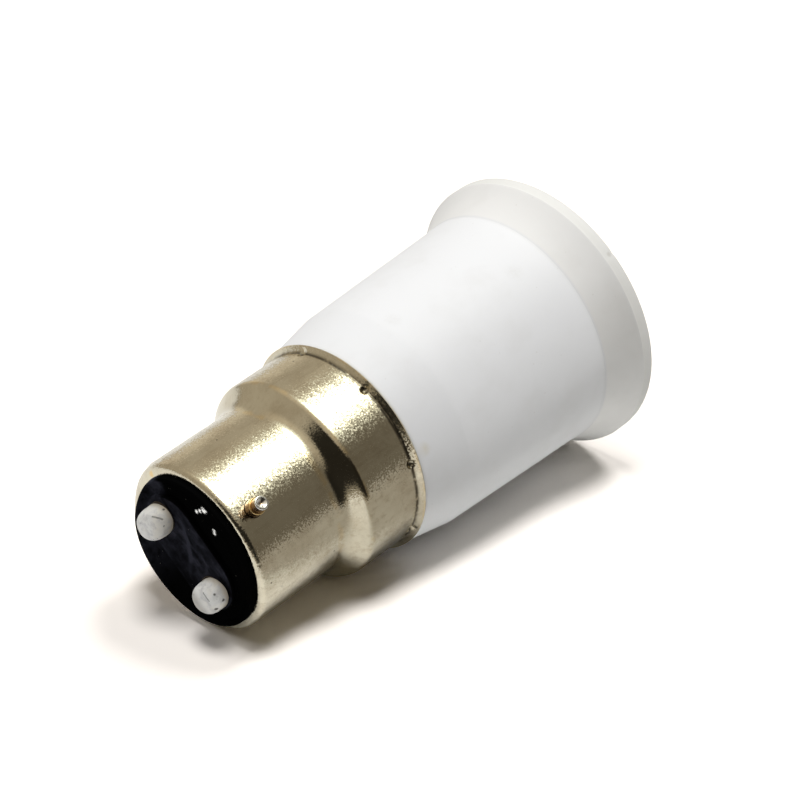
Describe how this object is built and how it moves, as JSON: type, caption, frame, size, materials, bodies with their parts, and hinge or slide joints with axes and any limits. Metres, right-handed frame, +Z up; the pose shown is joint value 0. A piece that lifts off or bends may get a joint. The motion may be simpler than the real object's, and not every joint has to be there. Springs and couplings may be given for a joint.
{
  "type": "lamp socket adapter",
  "caption": "Lamp socket adapter: white moulded housing with a flared screw-lamp socket at one end and a nickel-plated bayonet cap with pins and solder contacts at the other.",
  "frame": {"origin": "centre of the housing's rim, on the surface that it stands on", "axes": "+Z up along the axis from the socket mouth to the bayonet contacts, X through the bayonet pins, Y through the contacts"},
  "size_m": [0.0368, 0.0368, 0.0645],
  "materials": {
    "white_plastic": "satin moulded white",
    "nickel_plate": "satin nickel plate",
    "black_insulator": "glossy black",
    "screw_metal": "bright rolled sheet",
    "spring_brass": "bare spring brass",
    "rivet_metal": "bare brass",
    "pin_metal": "plated brass",
    "eyelet_brass": "bare brass",
    "solder": "dull solder",
    "tag_metal": "tinned brass",
    "tag_solder": "dull solder",
    "copper": "bare copper",
    "live_sleeve": "brown sleeve",
    "neutral_sleeve": "blue sleeve"
  },
  "bodies": {
    "adapter": {"housing": "white_plastic", "cap_shell": "nickel_plate", "cap_insulator": "black_insulator", "screw_shell": "screw_metal", "rivets": "rivet_metal", "front_pin": "pin_metal", "rear_pin": "pin_metal", "live_eyelet": "eyelet_brass", "live_contact": "solder", "live_tag": "tag_metal", "live_tag_solder": "tag_solder", "live_wire_core": "copper", "neutral_eyelet": "eyelet_brass", "neutral_contact": "solder", "neutral_tag": "tag_metal", "neutral_tag_solder": "tag_solder", "neutral_wire_core": "copper", "live_wire_sleeve": "live_sleeve", "neutral_wire_sleeve": "neutral_sleeve"},
    "contact_leaf": {"centre_contact": "spring_brass"}
  },
  "joints": [
    {"name": "contact_flex", "type": "hinge", "parent": "adapter", "child": "contact_leaf", "pos_m": [-0.0048, 0, 0.02983], "axis": [0, -1, 0], "range_deg": [0, 12], "stiffness_Nm_per_rad": 0.1, "deforming": ["centre_contact"]}
  ]
}
